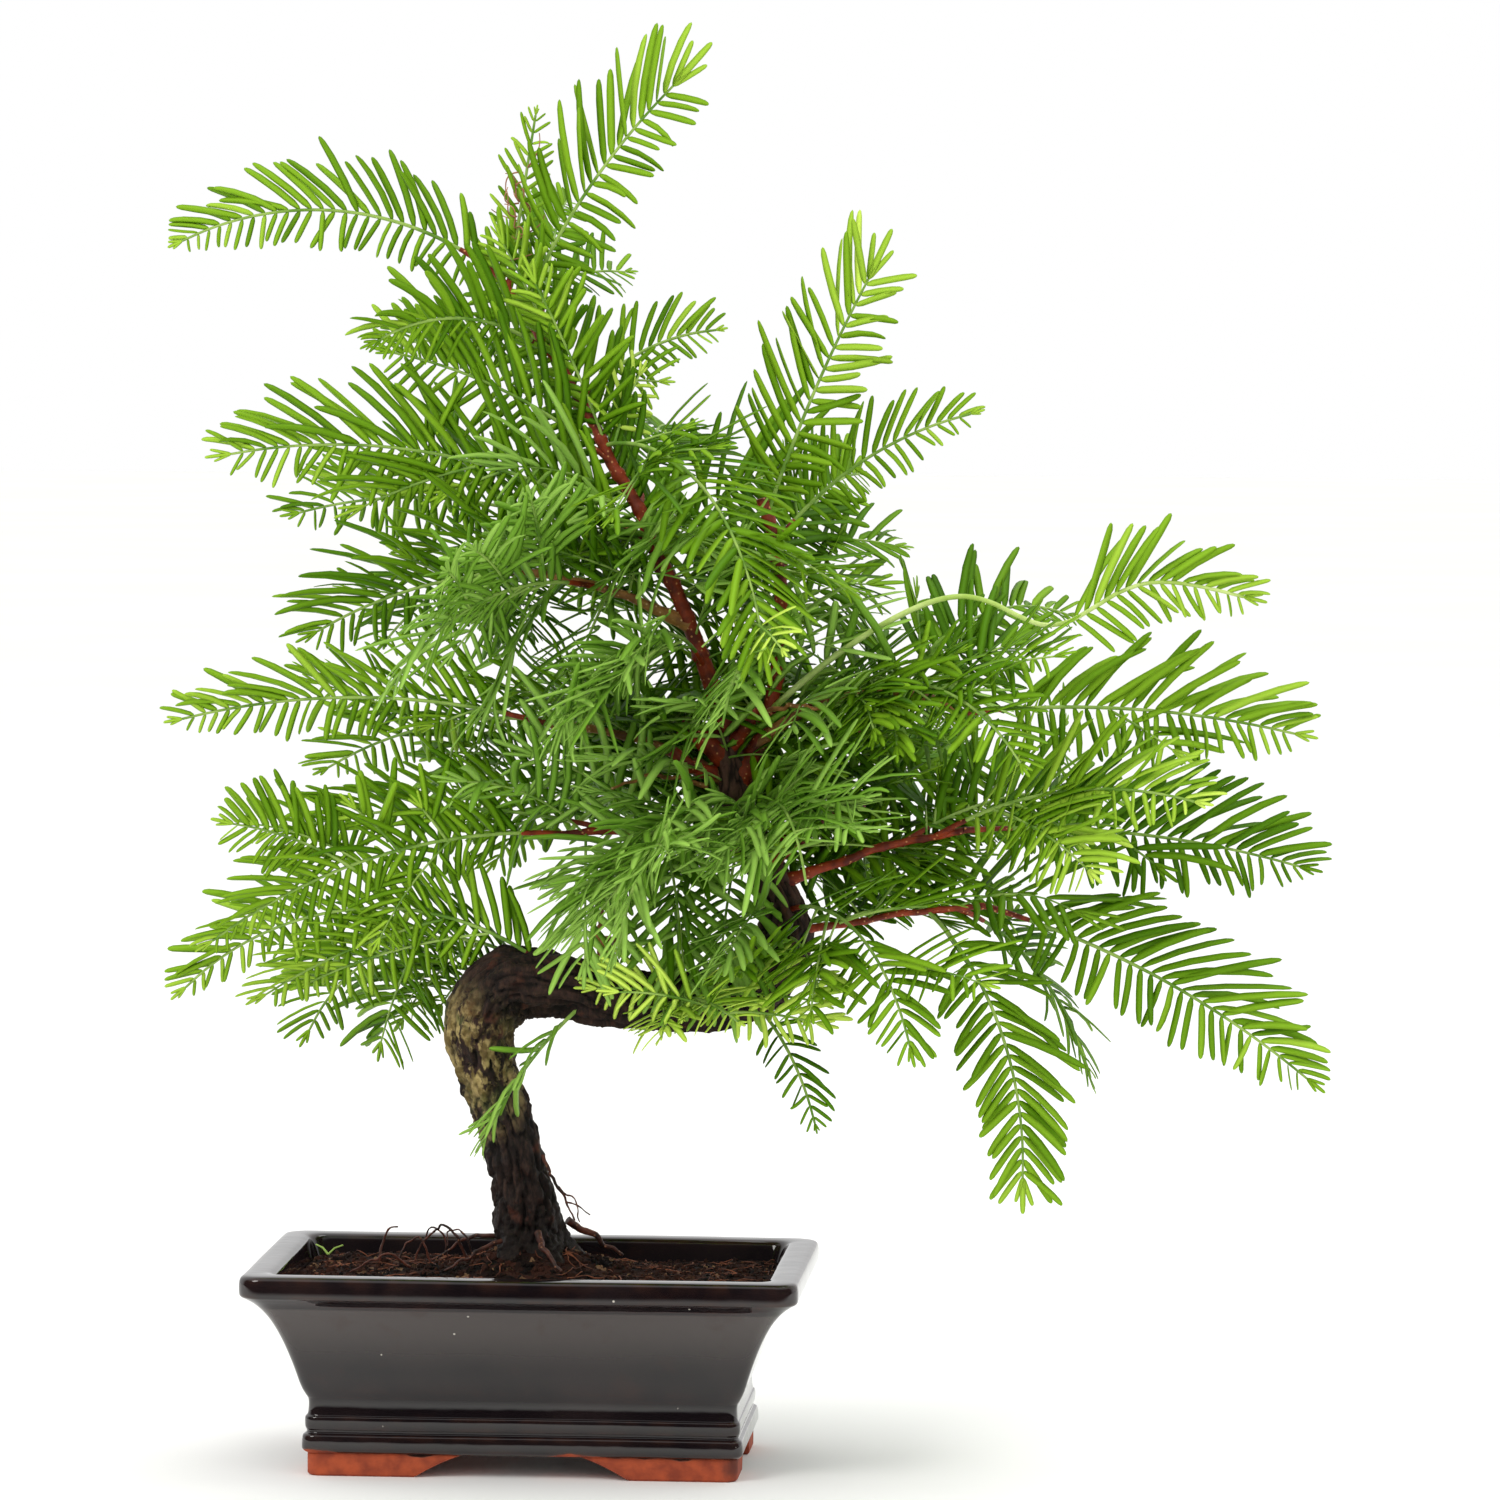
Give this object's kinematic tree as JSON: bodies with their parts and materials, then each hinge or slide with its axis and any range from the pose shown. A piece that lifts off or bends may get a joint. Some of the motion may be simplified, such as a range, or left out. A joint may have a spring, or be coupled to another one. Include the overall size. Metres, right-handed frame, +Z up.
{
  "type": "dawn redwood bonsai in a glazed pot",
  "caption": "Miniature dawn redwood with an S-bent trunk, slender boughs and feathery needle fronds, growing in soil in a low rectangular glazed pot with bare clay feet.",
  "frame": {"origin": "middle of the whole part's box in plan, on the ground under the pot's feet", "axes": "+Z up, +X to the right along the pot's long side, +Y away from the viewer"},
  "size_m": [0.3808, 0.2436, 0.4706],
  "materials": {
    "glaze": "near-black glossy glaze over red earthenware, thinner and brown at the edges, with the feet left as bare terracotta",
    "soil": "dark brown crumbly potting soil with reddish fibres, small pale grains and rootlets",
    "trunk_bark": "rough dark brown bark with shallow fissures and tan and olive lichen on the bends",
    "young_bark": "smooth red-brown young bark with fine pale lenticels",
    "needles": "soft flat bright green needles, yellow-green at the shoot tips and darker inside the crown"
  },
  "bodies": {
    "root": {"pot": "glaze", "soil": "soil", "trunk": "trunk_bark", "leader_left": "young_bark", "leader_middle": "young_bark", "bough_right_upper": "young_bark", "bough_right_middle": "young_bark", "bough_right_lower": "young_bark", "bough_left_upper": "young_bark", "bough_left_middle": "young_bark", "bough_left_lower": "young_bark", "bough_back_left": "young_bark", "bough_back_right": "young_bark", "needles_top_shoot": "needles", "needles_top_left_arch": "needles", "needles_top_sprig": "needles", "needles_top_back": "needles", "needles_top_front": "needles", "needles_upper_back_left": "needles", "needles_left_fan_upper": "needles", "needles_left_fan_front": "needles", "needles_left_fan_back": "needles", "needles_front_arch": "needles", "needles_right_of_leader": "needles", "needles_left_middle": "needles", "needles_left_middle_front": "needles", "needles_left_middle_back": "needles", "needles_left_long": "needles", "needles_left_long_back": "needles", "needles_left_lower": "needles", "needles_left_low_front": "needles", "needles_left_lowest": "needles", "needles_left_lowest_back": "needles", "needles_centre_left": "needles", "needles_front_left_droop": "needles", "needles_front_upper": "needles", "needles_front_middle": "needles", "needles_front_right_low": "needles", "needles_centre_right": "needles", "needles_upper_right_shoot": "needles", "needles_right_top_sprig": "needles", "needles_right_top_back": "needles", "needles_right_arch": "needles", "needles_right_arch_front": "needles", "needles_right_arch_back": "needles", "needles_right_middle": "needles", "needles_right_front": "needles", "needles_right_low_middle": "needles", "needles_right_back": "needles", "needles_right_lower": "needles", "needles_right_hanging": "needles", "needles_right_hanging_back": "needles", "needles_back_left": "needles", "needles_back_left_low": "needles", "needles_back_right": "needles", "needles_back_right_low": "needles", "needles_back_upper": "needles", "needles_low_front": "needles", "needles_low_left_sprig": "needles", "needles_low_hanging": "needles"}
  },
  "joints": []
}
